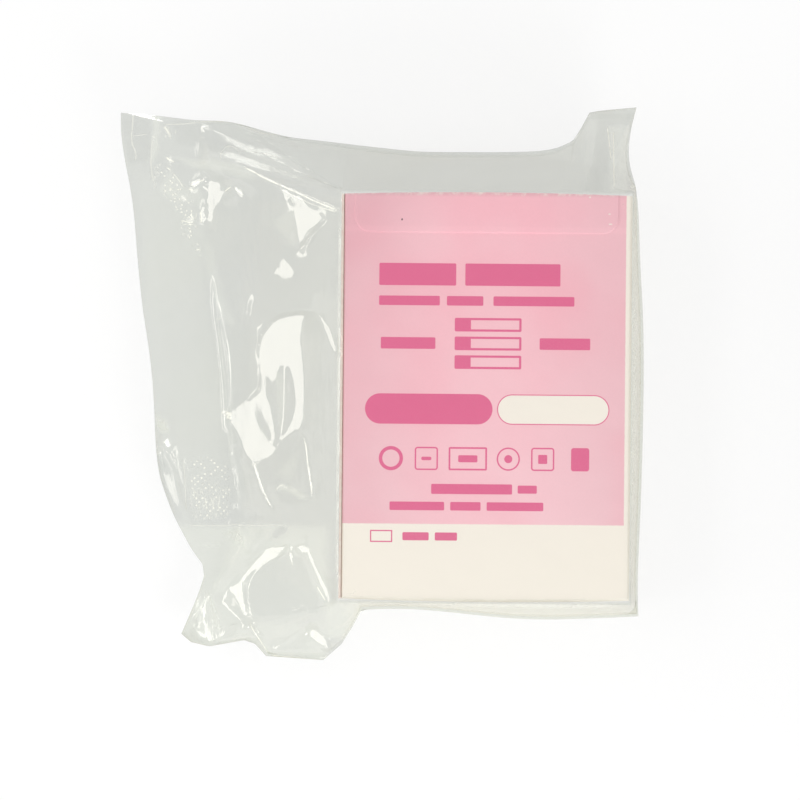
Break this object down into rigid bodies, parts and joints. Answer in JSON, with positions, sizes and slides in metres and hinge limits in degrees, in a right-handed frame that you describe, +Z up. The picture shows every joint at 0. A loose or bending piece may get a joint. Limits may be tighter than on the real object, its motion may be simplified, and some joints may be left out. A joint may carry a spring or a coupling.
{
  "type": "pack of microscope slides",
  "caption": "Closed card carton of microscope slides, lying face up in a sealed clear film bag that is wider than the carton, with a crimped mouth at the left and creased film round the sides.",
  "frame": {"origin": "centre of the flat underside, below the middle of the carton", "axes": "+Z up from the underside through the carton's front panel, +Y along the carton to its top end, +X across it, away from the bag's crimped mouth"},
  "size_m": [0.1043, 0.1102, 0.0288],
  "materials": {
    "carton": "satin",
    "film_bag": "gloss"
  },
  "bodies": {
    "root": {"carton": "carton", "film_bag": "film_bag"}
  },
  "joints": []
}
